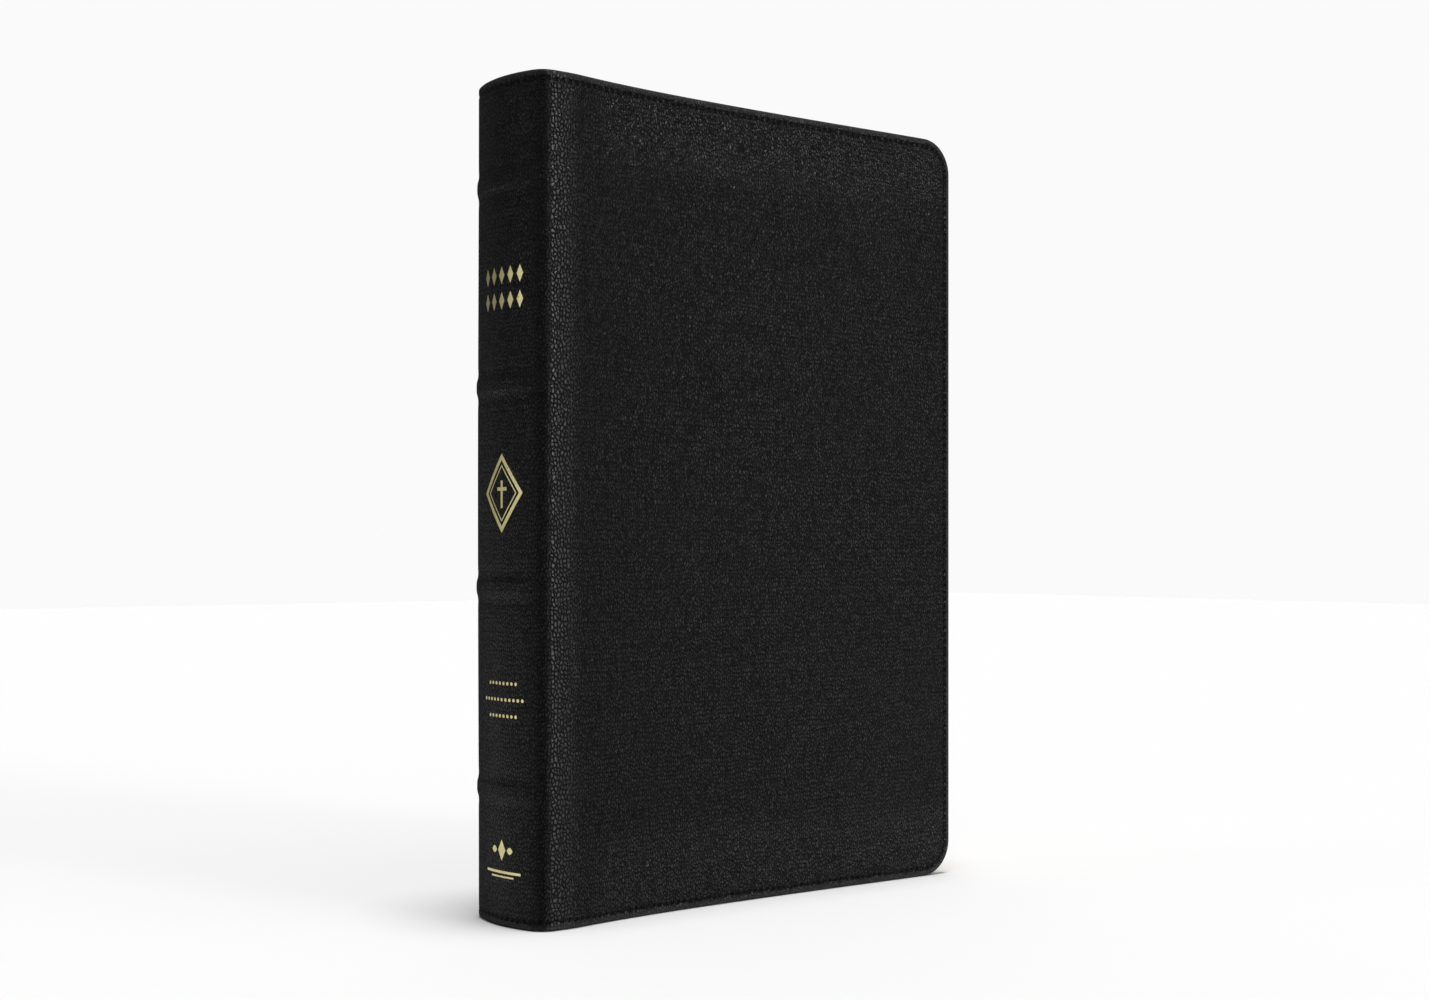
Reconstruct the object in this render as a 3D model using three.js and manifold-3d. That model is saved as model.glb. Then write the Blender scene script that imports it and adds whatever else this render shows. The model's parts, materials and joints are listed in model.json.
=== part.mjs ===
// A thick leather-bound Bible that stands closed on its tail edge.
// Millimetres, +Z up. The origin is at the middle of the tail edge: the spine faces -X,
// the fore-edge +X, the front cover -Y and the back cover +Y.

import * as THREE from "three";
import { mergeVertices } from "three/addons/utils/BufferGeometryUtils.js";
import Module from "manifold-3d";

const wasm = await Module();
wasm.setup();

// Driving dimensions of the closed book.
const HEIGHT = 240;
const WIDTH = 166;
const COVER_HALF = 14.1; // middle plane to the flat outside of a cover
const SHOULDER_HALF = 17.7; // middle plane to the outside of a shoulder
const SPINE_RADIUS = 40; // rounding across the spine
const SHOULDER_RADIUS = 5.5; // rounding from the spine to the shoulder
const SHOULDER_WIDTH = 15; // spine to where the cover starts to slope down
const SLOPE_LENGTH = 60; // run of the slope from the shoulder to the flat cover
const SLOPE_POWER = 3; // the slope is steepest at the shoulder and runs out flat
const COVER_CORNER = 11; // corner radius of a cover at the fore-edge

// Leather case, as depths below the outer skin.
const SPINE_LEATHER = 1.3;
const COVER_LEATHER = 1.2;
const COVER_RIM = 2.1; // leather with its turned-in edge
const TURN_IN = 3.8; // width of the turned-in edge
const HINGE_STRIP = 14; // solid leather between the hinge line and the cover's board
const BOARD_DEPTHS = [1.3, 2.05];
const LINING_DEPTHS = [2.2, 2.8];
const LINING_INSET = 1.4;
const LINING_LAP = 0.8; // how far the lining reaches round the shoulder
const LAYER_GAP = 0.1;
const CUT_PAST = 1; // how far a cutting solid runs past the face it opens

// Layers between the spine leather and the folds of the book block. How far each reaches
// round the spine is a share of the angle at which the shoulder begins.
const LAYER_REACH_SHARE = 0.92;
const STIFFENER_DEPTHS = [1.4, 1.8];
const TUBE_DEPTHS = [1.9, 2.7];
const TUBE_WALL = 0.25;
const TUBE_BORE_SHARE = 0.94; // of the tube's reach round the spine
const TUBE_INSET = 6; // from the head and tail of the leather
const MULL_DEPTHS = [2.8, 3.0];
const TAPE_DEPTHS = [3.1, 3.5];
const FOLD_DEPTH = 3.6;
const TAPE_COUNT = 3;
const TAPE_WIDTH = 12;
const MULL_INSET = 20;

// Raised bands across the spine.
const BAND_REACH_SHARE = 0.95;
const BAND_COUNT = 4;
const BAND_PITCH = 57.5;
const BAND_MIDDLE = 124.2; // height of the middle of the four bands
const BAND_PROUD = 0.5;
const BAND_FOOT = 6;
const BAND_CREST = 2.4;
const STRIP_DEPTHS = [0.95, 1.3];
const STRIP_WIDTH = 3.4;
const STRIP_REACH_SHARE = 0.98; // of its groove's reach

// Book block: sewn signatures, recessed behind the edges of the cover.
const SQUARE = 4;
const PAGE_CORNER = 8;
const FLYLEAF_DEPTHS = [2.9, 3.15];
const BLOCK_DEPTH = 3.25;
const SIGNATURE_COUNT = 24;
const PAGE_GAP = 0.1;
const BEAD_RADIUS = 1.05; // headband and tailband
const BEAD_SIDES = 8;
const BEAD_REACH_SHARE = 0.97;

// The covers part from the spine at the line about which they turn.
const HINGE_X = 5; // from the back of the spine
const HINGE_GAP = 0.3;

const SPINE_X = -WIDTH / 2 + BAND_PROUD;
const FORE_EDGE_X = WIDTH / 2;
const SPINE_CENTRE_X = SPINE_X + SPINE_RADIUS;
const CORNER_CENTRE_Y = SHOULDER_HALF - SHOULDER_RADIUS;
const CORNER_CENTRE_X =
  SPINE_CENTRE_X - Math.sqrt((SPINE_RADIUS - SHOULDER_RADIUS) ** 2 - CORNER_CENTRE_Y ** 2);
const CORNER_ANGLE = Math.atan2(CORNER_CENTRE_Y, SPINE_CENTRE_X - CORNER_CENTRE_X);
const HINGE_LINE_X = SPINE_X + HINGE_X;
const SPINE_LAYER_REACH = LAYER_REACH_SHARE * CORNER_ANGLE;
const BAND_REACH = BAND_REACH_SHARE * CORNER_ANGLE;
const BEAD_REACH = BEAD_REACH_SHARE * CORNER_ANGLE;
const SLOPE_X = SPINE_X + SHOULDER_WIDTH;
const FLAT_X = SLOPE_X + SLOPE_LENGTH;

const FRONT = -1;
const BACK = 1;

const ARC_STEPS = 16;
const CORNER_STEPS = 4;
const ROUND_STEPS = 6;
const FOLD_STEPS = 3;
const CURVE_POINTS = 12; // stations along the slope
const STATION_CROWDING = 1.5; // above 1, the stations crowd towards the shoulder

const MATERIALS = {
  leather: new THREE.MeshStandardMaterial({ color: 0x212121, roughness: 0.6 }),
  lining: new THREE.MeshStandardMaterial({ color: 0x1c1b1a, roughness: 0.5 }),
  board: new THREE.MeshStandardMaterial({ color: 0x6e6a62, roughness: 0.9 }),
  cloth: new THREE.MeshStandardMaterial({ color: 0xd8d2c4, roughness: 0.95 }),
  thread: new THREE.MeshStandardMaterial({ color: 0xb99a4c, roughness: 0.7 }),
  pages: new THREE.MeshStandardMaterial({ color: 0xf1ead8, roughness: 0.85 }),
  flyleaf: new THREE.MeshStandardMaterial({ color: 0xe9dfc8, roughness: 0.8 }),
};

const book = new THREE.Group();

function addPart(name, geometry, material) {
  const mesh = new THREE.Mesh(geometry, material);
  mesh.name = name;
  book.add(mesh);
}

// A closed solid through a row of sections, each a ring of the same number of points.
function loft(sections) {
  const sides = sections[0].length;
  const positions = sections.flat().flatMap((point) => [point.x, point.y, point.z]);
  const indices = [];
  const corner = (section, side) => section * sides + (side % sides);
  for (let section = 0; section + 1 < sections.length; section += 1) {
    for (let side = 0; side < sides; side += 1) {
      indices.push(corner(section, side), corner(section, side + 1), corner(section + 1, side + 1));
      indices.push(corner(section, side), corner(section + 1, side + 1), corner(section + 1, side));
    }
  }
  const last = sections.length - 1;
  for (let side = 1; side + 1 < sides; side += 1) {
    indices.push(corner(0, 0), corner(0, side + 1), corner(0, side));
    indices.push(corner(last, 0), corner(last, side), corner(last, side + 1));
  }
  const geometry = new THREE.BufferGeometry();
  geometry.setAttribute("position", new THREE.Float32BufferAttribute(positions, 3));
  geometry.setIndex(signedVolume(sections, indices) < 0 ? indices.reverse() : indices);
  return geometry;
}

function signedVolume(sections, indices) {
  const points = sections.flat();
  let volume = 0;
  for (let at = 0; at < indices.length; at += 3) {
    const [a, b, c] = [points[indices[at]], points[indices[at + 1]], points[indices[at + 2]]];
    volume += a.dot(b.clone().cross(c));
  }
  return volume;
}

function toSolid(geometry) {
  const bare = geometry.clone();
  bare.deleteAttribute("normal");
  bare.deleteAttribute("uv");
  const merged = mergeVertices(bare);
  return new wasm.Manifold(
    new wasm.Mesh({
      numProp: 3,
      vertProperties: merged.attributes.position.array,
      triVerts: new Uint32Array(merged.index.array),
    }),
  );
}

function toGeometry(solid) {
  const mesh = solid.getMesh();
  const geometry = new THREE.BufferGeometry();
  geometry.setAttribute("position", new THREE.BufferAttribute(mesh.vertProperties, 3));
  geometry.setIndex(new THREE.BufferAttribute(mesh.triVerts, 1));
  return geometry;
}

// Half the book's thickness at x, measured to a surface `depth` below the outer skin.
function halfThickness(x, depth) {
  if (x < CORNER_CENTRE_X) {
    const radius = SHOULDER_RADIUS - depth;
    return CORNER_CENTRE_Y + Math.sqrt(radius ** 2 - (x - CORNER_CENTRE_X) ** 2);
  }
  if (x < SLOPE_X) {
    return SHOULDER_HALF - depth;
  }
  const left = Math.max(0, 1 - (x - SLOPE_X) / SLOPE_LENGTH);
  return COVER_HALF + (SHOULDER_HALF - COVER_HALF) * left ** SLOPE_POWER - depth;
}

// Places along X where every layer has a section, so that stacked layers stay parallel.
function curveStations() {
  const stations = [];
  for (let step = 0; step < CORNER_STEPS; step += 1) {
    stations.push(THREE.MathUtils.lerp(HINGE_LINE_X, CORNER_CENTRE_X, (step + 1) / CORNER_STEPS));
  }
  for (let step = 0; step <= CURVE_POINTS; step += 1) {
    stations.push(SLOPE_X + SLOPE_LENGTH * (step / CURVE_POINTS) ** STATION_CROWDING);
  }
  return stations;
}

const CURVE_STATIONS = curveStations();

// Stations of a sheet from its start to its rounded corners: its x, and how far its head
// and tail edges are drawn in there.
function sheetStations(start, end, corner) {
  const stations = [{ x: start, drawnIn: 0 }];
  for (const x of CURVE_STATIONS) {
    if (x > start + LAYER_GAP && x < end - corner) {
      stations.push({ x, drawnIn: 0 });
    }
  }
  for (let step = 0; step <= ROUND_STEPS; step += 1) {
    const angle = (Math.PI / 2) * (step / ROUND_STEPS);
    stations.push({
      x: end - corner + corner * Math.sin(angle),
      drawnIn: corner * (1 - Math.cos(angle)),
    });
  }
  return stations;
}

// A section of a sheet that stands upright, through two points seen in plan.
function wallSection(outer, inner, low, high) {
  return [
    new THREE.Vector3(outer.x, outer.y, low),
    new THREE.Vector3(outer.x, outer.y, high),
    new THREE.Vector3(inner.x, inner.y, high),
    new THREE.Vector3(inner.x, inner.y, low),
  ];
}

// A sheet of the case that lies between two depths on one side of the book.
function caseSheet({ side, depths, start, end, corner, inset }) {
  const sections = sheetStations(start, end, corner).map(({ x, drawnIn }) =>
    wallSection(
      { x, y: side * halfThickness(x, depths[0]) },
      { x, y: side * halfThickness(x, depths[1]) },
      inset + drawnIn,
      HEIGHT - inset - drawnIn,
    ),
  );
  return loft(sections);
}

// Directions from an arc's centre, from the front side of the spine round to the back.
function arcAngles(reach) {
  return Array.from({ length: ARC_STEPS + 1 }, (_, step) =>
    THREE.MathUtils.lerp(-reach, reach, step / ARC_STEPS),
  );
}

function spinePoint(angle, depth) {
  const radius = SPINE_RADIUS - depth;
  return new THREE.Vector2(
    SPINE_CENTRE_X - radius * Math.cos(angle),
    radius * Math.sin(angle),
  );
}

// A layer wrapped round the spine between two depths and two heights.
function spineLayer(depths, reach, low, high) {
  const sections = arcAngles(reach).map((angle) =>
    wallSection(spinePoint(angle, depths[0]), spinePoint(angle, depths[1]), low, high),
  );
  return loft(sections);
}

// The spine leather goes on past the arc, round each shoulder to an upright end face at
// the hinge line.
function shoulderPoints(side) {
  const atDepth = (depth, share) => {
    const radius = SHOULDER_RADIUS - depth;
    const last = Math.acos((CORNER_CENTRE_X - HINGE_LINE_X + HINGE_GAP / 2) / radius);
    const angle = THREE.MathUtils.lerp(CORNER_ANGLE, last, share);
    return new THREE.Vector2(
      CORNER_CENTRE_X - radius * Math.cos(angle),
      side * (CORNER_CENTRE_Y + radius * Math.sin(angle)),
    );
  };
  return Array.from({ length: CORNER_STEPS }, (_, step) => {
    const share = (step + 1) / CORNER_STEPS;
    return { outer: atDepth(0, share), inner: atDepth(SPINE_LEATHER, share) };
  });
}

function spineShell() {
  const arc = arcAngles(CORNER_ANGLE).map((angle) => ({
    outer: spinePoint(angle, 0),
    inner: spinePoint(angle, SPINE_LEATHER),
  }));
  const wall = [...shoulderPoints(FRONT).reverse(), ...arc, ...shoulderPoints(BACK)];
  return loft(wall.map(({ outer, inner }) => wallSection(outer, inner, 0, HEIGHT)));
}

function bandHeight(band) {
  return BAND_MIDDLE + (band - (BAND_COUNT - 1) / 2) * BAND_PITCH;
}

// The ridge that the leather forms over a band: highest in the middle of the spine.
function bandRidge(height) {
  const rooted = SPINE_LEATHER / 2;
  const sections = arcAngles(BAND_REACH).map((angle) => {
    const fade = Math.sqrt(1 - (angle / BAND_REACH) ** 2);
    const crest = spinePoint(angle, -BAND_PROUD * fade);
    const foot = spinePoint(angle, rooted);
    return [
      new THREE.Vector3(foot.x, foot.y, height - BAND_FOOT / 2),
      new THREE.Vector3(crest.x, crest.y, height - BAND_CREST / 2),
      new THREE.Vector3(crest.x, crest.y, height + BAND_CREST / 2),
      new THREE.Vector3(foot.x, foot.y, height + BAND_FOOT / 2),
    ];
  });
  return loft(sections);
}

function bandStrip(height, depths, width, reach) {
  return spineLayer(depths, reach, height - width / 2, height + width / 2);
}

function spineLeather() {
  let leather = toSolid(spineShell());
  for (let band = 0; band < BAND_COUNT; band += 1) {
    const height = bandHeight(band);
    const grooveDepths = [STRIP_DEPTHS[0] - LAYER_GAP, STIFFENER_DEPTHS[0]];
    const groove = bandStrip(height, grooveDepths, STRIP_WIDTH + 2 * LAYER_GAP, BAND_REACH);
    leather = leather.add(toSolid(bandRidge(height))).subtract(toSolid(groove));
  }
  return toGeometry(leather);
}

// A flattened paper tube, open at head and tail.
function hollowTube() {
  const bore = [TUBE_DEPTHS[0] + TUBE_WALL, TUBE_DEPTHS[1] - TUBE_WALL];
  const boreReach = SPINE_LAYER_REACH * TUBE_BORE_SHARE;
  const outside = spineLayer(TUBE_DEPTHS, SPINE_LAYER_REACH, TUBE_INSET, HEIGHT - TUBE_INSET);
  const inside = spineLayer(bore, boreReach, 0, HEIGHT);
  return toGeometry(toSolid(outside).subtract(toSolid(inside)));
}

// A rolled bead along the folds, sewn to the head or tail of the book block.
function endBead(height) {
  const sections = arcAngles(BEAD_REACH).map((angle) => {
    const centre = spinePoint(angle, FOLD_DEPTH + BEAD_RADIUS);
    return Array.from({ length: BEAD_SIDES }, (_, side) => {
      const turn = (2 * Math.PI * side) / BEAD_SIDES;
      const out = BEAD_RADIUS * Math.cos(turn);
      return new THREE.Vector3(
        centre.x - out * Math.cos(angle),
        centre.y + out * Math.sin(angle),
        height + BEAD_RADIUS * Math.sin(turn),
      );
    });
  });
  return loft(sections);
}

// Leather skin of one cover, with a pocket behind its turned-in edge for the board.
function coverLeather(side) {
  const skin = caseSheet({
    side,
    depths: [0, COVER_RIM],
    start: HINGE_LINE_X + HINGE_GAP / 2,
    end: FORE_EDGE_X,
    corner: COVER_CORNER,
    inset: 0,
  });
  const pocket = caseSheet({
    side,
    depths: [COVER_LEATHER, COVER_RIM + CUT_PAST],
    start: HINGE_LINE_X + HINGE_STRIP,
    end: FORE_EDGE_X - TURN_IN,
    corner: COVER_CORNER - TURN_IN,
    inset: TURN_IN,
  });
  return toGeometry(toSolid(skin).subtract(toSolid(pocket)));
}

function coverBoard(side) {
  const inset = TURN_IN + LAYER_GAP;
  return caseSheet({
    side,
    depths: BOARD_DEPTHS,
    start: HINGE_LINE_X + HINGE_STRIP + LAYER_GAP,
    end: FORE_EDGE_X - inset,
    corner: COVER_CORNER - inset,
    inset,
  });
}

function coverLining(side) {
  return caseSheet({
    side,
    depths: LINING_DEPTHS,
    start: CORNER_CENTRE_X - LINING_LAP,
    end: FORE_EDGE_X - LINING_INSET,
    corner: COVER_CORNER - LINING_INSET,
    inset: LINING_INSET,
  });
}

function flyleaf(side) {
  return caseSheet({
    side,
    depths: FLYLEAF_DEPTHS,
    start: CORNER_CENTRE_X,
    end: FORE_EDGE_X - SQUARE,
    corner: PAGE_CORNER,
    inset: SQUARE,
  });
}

// Half the book block's thickness: the folds swell it towards the spine.
function blockHalf(x) {
  return halfThickness(Math.max(x, CORNER_CENTRE_X), BLOCK_DEPTH);
}

function foldX(share) {
  const y = share * blockHalf(SPINE_X);
  const radius = SPINE_RADIUS - FOLD_DEPTH;
  return SPINE_CENTRE_X - Math.sqrt(radius ** 2 - y ** 2);
}

// One sewn signature: a folded stack of leaves between two shares of the half thickness,
// from -1 under the front cover to 1 under the back cover.
function signature(lower, upper) {
  const middle = (lower + upper) / 2;
  const halfShare = (upper - lower) / 2;
  const fold = foldX(middle);
  const leafWidth = FORE_EDGE_X - SQUARE - foldX(1 - 1 / SIGNATURE_COUNT);
  const foldRadius = halfShare * blockHalf(fold) - PAGE_GAP / 2;
  const stations = [];
  for (let step = 1; step <= FOLD_STEPS; step += 1) {
    const angle = (Math.PI / 2) * (step / (FOLD_STEPS + 1));
    stations.push({
      x: fold + foldRadius * (1 - Math.cos(angle)),
      drawnIn: 0,
      fullness: Math.sin(angle),
    });
  }
  for (const station of sheetStations(fold + foldRadius, fold + leafWidth, PAGE_CORNER)) {
    stations.push({ ...station, fullness: 1 });
  }
  const sections = stations.map(({ x, drawnIn, fullness }) => {
    const half = (halfShare * blockHalf(x) - PAGE_GAP / 2) * fullness;
    const centre = middle * blockHalf(x);
    const low = SQUARE + drawnIn;
    return wallSection({ x, y: centre - half }, { x, y: centre + half }, low, HEIGHT - low);
  });
  return loft(sections);
}

function addSpine() {
  addPart("spine_leather", spineLeather(), MATERIALS.leather);
  const stiffener = spineLayer(STIFFENER_DEPTHS, SPINE_LAYER_REACH, SQUARE, HEIGHT - SQUARE);
  addPart("spine_stiffener", stiffener, MATERIALS.board);
  addPart("spine_hollow_tube", hollowTube(), MATERIALS.board);
  const mull = spineLayer(MULL_DEPTHS, SPINE_LAYER_REACH, MULL_INSET, HEIGHT - MULL_INSET);
  addPart("spine_mull_cloth", mull, MATERIALS.cloth);
  for (let band = 0; band < BAND_COUNT; band += 1) {
    const reach = BAND_REACH * STRIP_REACH_SHARE;
    const strip = bandStrip(bandHeight(band), STRIP_DEPTHS, STRIP_WIDTH, reach);
    addPart(`raised_band_strip_${band + 1}`, strip, MATERIALS.board);
  }
  for (let tape = 0; tape < TAPE_COUNT; tape += 1) {
    const height = (HEIGHT * (tape + 1)) / (TAPE_COUNT + 1);
    const strip = bandStrip(height, TAPE_DEPTHS, TAPE_WIDTH, SPINE_LAYER_REACH);
    addPart(`sewing_tape_${tape + 1}`, strip, MATERIALS.cloth);
  }
  const beadOffset = BEAD_RADIUS + LAYER_GAP;
  addPart("headband", endBead(HEIGHT - SQUARE + beadOffset), MATERIALS.thread);
  addPart("tailband", endBead(SQUARE - beadOffset), MATERIALS.thread);
}

function addCover(side, name) {
  addPart(`${name}_cover_leather`, coverLeather(side), MATERIALS.leather);
  addPart(`${name}_cover_board`, coverBoard(side), MATERIALS.board);
  addPart(`${name}_cover_lining`, coverLining(side), MATERIALS.lining);
  addPart(`${name}_flyleaf`, flyleaf(side), MATERIALS.flyleaf);
}

function addSignatures() {
  for (let count = 0; count < SIGNATURE_COUNT; count += 1) {
    const lower = (2 * count) / SIGNATURE_COUNT - 1;
    const upper = (2 * (count + 1)) / SIGNATURE_COUNT - 1;
    const number = String(count + 1).padStart(2, "0");
    addPart(`signature_${number}`, signature(lower, upper), MATERIALS.pages);
  }
}

addSpine();
addCover(FRONT, "front");
addCover(BACK, "back");
addSignatures();

export default book;
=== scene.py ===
"""The looks of a thick leather-bound Bible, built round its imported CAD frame.

The skin of the case is thought of as one flat sheet bent round the book. A place on it is a
run (the distance round from the middle of the spine, positive towards the front cover), a
height above the tail edge and a depth below the skin. place() bends such places into the
book's own frame. Lengths are in millimetres until a mesh is made.
"""

import json
import math

import bmesh
import bpy
import numpy as np
from mathutils import Vector
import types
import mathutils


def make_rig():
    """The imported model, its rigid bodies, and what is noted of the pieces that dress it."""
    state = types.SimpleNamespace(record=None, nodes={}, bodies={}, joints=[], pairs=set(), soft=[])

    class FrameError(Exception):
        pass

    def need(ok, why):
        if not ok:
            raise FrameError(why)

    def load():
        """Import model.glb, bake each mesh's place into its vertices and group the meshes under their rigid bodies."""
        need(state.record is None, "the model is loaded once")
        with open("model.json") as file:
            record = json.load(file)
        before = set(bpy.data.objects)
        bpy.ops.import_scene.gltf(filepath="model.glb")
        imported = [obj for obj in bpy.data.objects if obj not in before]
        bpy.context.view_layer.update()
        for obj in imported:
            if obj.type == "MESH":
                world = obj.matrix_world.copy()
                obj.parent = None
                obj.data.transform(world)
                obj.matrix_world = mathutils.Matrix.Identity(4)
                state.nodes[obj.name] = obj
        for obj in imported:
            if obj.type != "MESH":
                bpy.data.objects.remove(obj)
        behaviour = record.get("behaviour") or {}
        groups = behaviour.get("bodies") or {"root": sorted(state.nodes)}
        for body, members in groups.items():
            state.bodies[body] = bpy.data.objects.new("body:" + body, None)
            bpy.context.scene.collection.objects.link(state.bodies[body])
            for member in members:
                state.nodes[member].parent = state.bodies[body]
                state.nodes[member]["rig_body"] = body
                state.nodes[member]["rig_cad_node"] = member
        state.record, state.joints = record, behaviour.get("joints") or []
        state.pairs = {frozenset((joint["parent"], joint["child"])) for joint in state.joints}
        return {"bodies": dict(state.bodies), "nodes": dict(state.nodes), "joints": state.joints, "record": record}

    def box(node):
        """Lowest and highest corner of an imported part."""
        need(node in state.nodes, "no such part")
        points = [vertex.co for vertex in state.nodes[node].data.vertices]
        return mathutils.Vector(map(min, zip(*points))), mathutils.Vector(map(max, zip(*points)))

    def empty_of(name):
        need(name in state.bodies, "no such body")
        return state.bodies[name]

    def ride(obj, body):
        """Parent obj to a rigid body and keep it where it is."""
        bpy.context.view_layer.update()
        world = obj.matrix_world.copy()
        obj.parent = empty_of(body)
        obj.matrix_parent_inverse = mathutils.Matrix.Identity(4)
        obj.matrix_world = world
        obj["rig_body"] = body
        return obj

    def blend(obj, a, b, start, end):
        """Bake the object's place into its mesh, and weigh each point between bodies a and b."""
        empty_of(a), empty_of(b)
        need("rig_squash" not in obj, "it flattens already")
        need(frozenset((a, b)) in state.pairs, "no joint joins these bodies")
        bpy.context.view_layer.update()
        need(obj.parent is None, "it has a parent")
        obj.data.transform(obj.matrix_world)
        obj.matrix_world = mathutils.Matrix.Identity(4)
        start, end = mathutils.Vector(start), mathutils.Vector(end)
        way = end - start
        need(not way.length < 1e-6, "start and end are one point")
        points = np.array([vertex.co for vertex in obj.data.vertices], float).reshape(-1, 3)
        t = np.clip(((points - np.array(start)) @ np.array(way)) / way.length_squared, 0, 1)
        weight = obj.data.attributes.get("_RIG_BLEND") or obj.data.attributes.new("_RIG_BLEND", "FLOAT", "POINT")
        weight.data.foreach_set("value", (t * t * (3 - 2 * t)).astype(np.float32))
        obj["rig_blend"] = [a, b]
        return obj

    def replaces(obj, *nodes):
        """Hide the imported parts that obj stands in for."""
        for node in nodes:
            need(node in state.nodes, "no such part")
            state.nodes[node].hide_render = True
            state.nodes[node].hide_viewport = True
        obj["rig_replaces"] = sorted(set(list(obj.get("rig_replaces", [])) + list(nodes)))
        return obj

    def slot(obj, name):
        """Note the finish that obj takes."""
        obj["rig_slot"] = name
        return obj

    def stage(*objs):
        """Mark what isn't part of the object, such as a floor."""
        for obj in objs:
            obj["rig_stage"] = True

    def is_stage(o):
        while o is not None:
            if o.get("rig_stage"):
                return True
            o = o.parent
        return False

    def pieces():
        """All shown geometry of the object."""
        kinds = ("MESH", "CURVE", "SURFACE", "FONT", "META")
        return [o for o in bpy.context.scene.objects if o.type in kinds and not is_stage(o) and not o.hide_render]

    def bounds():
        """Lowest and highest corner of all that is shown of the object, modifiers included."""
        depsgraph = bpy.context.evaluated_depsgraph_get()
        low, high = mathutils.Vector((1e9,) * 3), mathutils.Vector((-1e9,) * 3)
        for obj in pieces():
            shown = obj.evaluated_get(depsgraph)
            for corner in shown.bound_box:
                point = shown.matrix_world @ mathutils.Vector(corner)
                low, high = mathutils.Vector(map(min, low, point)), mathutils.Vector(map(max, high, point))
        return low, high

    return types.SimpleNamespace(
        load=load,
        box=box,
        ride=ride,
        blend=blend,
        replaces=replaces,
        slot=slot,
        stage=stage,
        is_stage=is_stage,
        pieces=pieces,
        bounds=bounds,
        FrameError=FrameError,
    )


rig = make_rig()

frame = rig.load()
cad_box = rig.bounds()

MM = 0.001
BAND_PROUD = 0.5
HEIGHT = cad_box[1].z / MM
FORE_EDGE_X = cad_box[1].x / MM
SHOULDER_HALF = cad_box[1].y / MM
SPINE_X = cad_box[0].x / MM + BAND_PROUD

# Shape of the case in plan.
SPINE_RADIUS = 40
SHOULDER_RADIUS = 5.5
SHOULDER_WIDTH = 15
SLOPE_LENGTH = 60
SLOPE_POWER = 3
COVER_HALF = 14.1
COVER_HOLLOW = 1.0  # how far the middle of a cover sinks
COVER_CORNER = 11
PATH_STEP = 0.25
PATH_SOFTNESS = 1.2  # leather rounds off every change of direction over about this length
SOFTNESS_STEPS = 20  # how far the rounding off looks to either side, in path steps
PATH_PAST = 14  # the path runs on past the fore-edge, so that its end is smooth too
ARC_POINTS = 40
COVER_POINTS = 400

# Leather, as depths below the skin.
RIM_DEPTH = 2.1
COVER_LEATHER = 1.2
SPINE_LEATHER = 1.3
TURN_IN = 3.8
SPINE_TURN_IN = 3.4
SOLID_STRIP = 19  # leather without a board, from the back of the spine along X
STITCH_INSET = 2.7
STITCH_PITCH = 2.3
GROOVE_DEPTH = 0.14
GROOVE_WIDTH = 0.5

# Raised bands of the spine, and the faint dips beside them.
BAND_COUNT = 4
BAND_PITCH = 57.5
BAND_MIDDLE = 124.2
BAND_HALF = 2.4
BAND_RIDGE = 0.48
BAND_SQUARENESS = 4
BAND_DIP = 0.1
DIP_AWAY = 1.75 * BAND_HALF
DIP_WIDTH = 0.5 * BAND_HALF
BAND_REACH = (14, 19)  # runs between which a raised band sinks back into the shoulder

# Bulge of the shoulders halfway up the book, and the runs over which it rises and falls.
BULGE = 0.28
BULGE_RISE = (6, 13)
BULGE_FALL = (18, 24)

# Unevenness of a cover: two waves, and the runs over which they set in and fade out.
WAVE_DEPTH = 0.07
WAVE_RUNS = (19, 31)
WAVE_HEIGHTS = (27, 17)
WAVE_PHASE = 0.6
SECOND_WAVE = 0.6
WAVE_RISE = (30, 60)
WAVE_MARGIN = (4, 20)  # from the fore-edge

BOARD_DEPTHS = (1.3, 2.05)
LINING_DEPTHS = (2.2, 2.8)
LINING_INSET = 1.4
LINING_START = SPINE_X + 4
BOARD_INSET = TURN_IN + 0.1
BOARD_START = SPINE_X + SOLID_STRIP + 0.4
FLYLEAF_DEPTHS = (2.9, 3.15)
BLOCK_DEPTH = 3.25
FOLD_DEPTH = 3.6
SQUARE = 4
PAGE_CORNER = 8
PAGE_GAP = 0.04
SIGNATURES = 24

# Spacing of the meshes.
CORNER_STEPS = 8
ROW_STEP = 2.5
ROW_MARGIN = 0.3  # least distance of a row from the first and the last one
ROW_GAP = 0.25  # least distance between two rows
BAND_ROWS = 6  # reach of the close rows on either side of a band's middle
BAND_ROW_STEP = 0.6
NEAR_RUN = 24  # end of the closest columns
NEAR_STEP = 0.35
BEND_RUN = 44  # end of the columns over the cover's slope
BEND_STEP = 0.9

FRONT = 1
BACK = -1
SIDES = ((FRONT, "front"), (BACK, "back"))
FAR_IN = 99  # inset noted for points away from the stitched edges
OFF_EDGE = (0, FAR_IN, 0)


def shoulder_corner():
    """The shoulder's centre of rounding and the angle at which it takes over from the spine."""
    centre_y = SHOULDER_HALF - SHOULDER_RADIUS
    reach = math.sqrt((SPINE_RADIUS - SHOULDER_RADIUS) ** 2 - centre_y**2)
    return SPINE_X + SPINE_RADIUS - reach, centre_y, math.atan2(centre_y, reach)


CORNER_X, CORNER_Y, CORNER_ANGLE = shoulder_corner()
SEAM = SPINE_RADIUS * CORNER_ANGLE  # run at which a cover's skin meets the spine's


def points_of(*axes):
    """Points from their coordinates, once these are stretched to one shape."""
    return np.stack(np.broadcast_arrays(*axes), -1)


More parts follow.
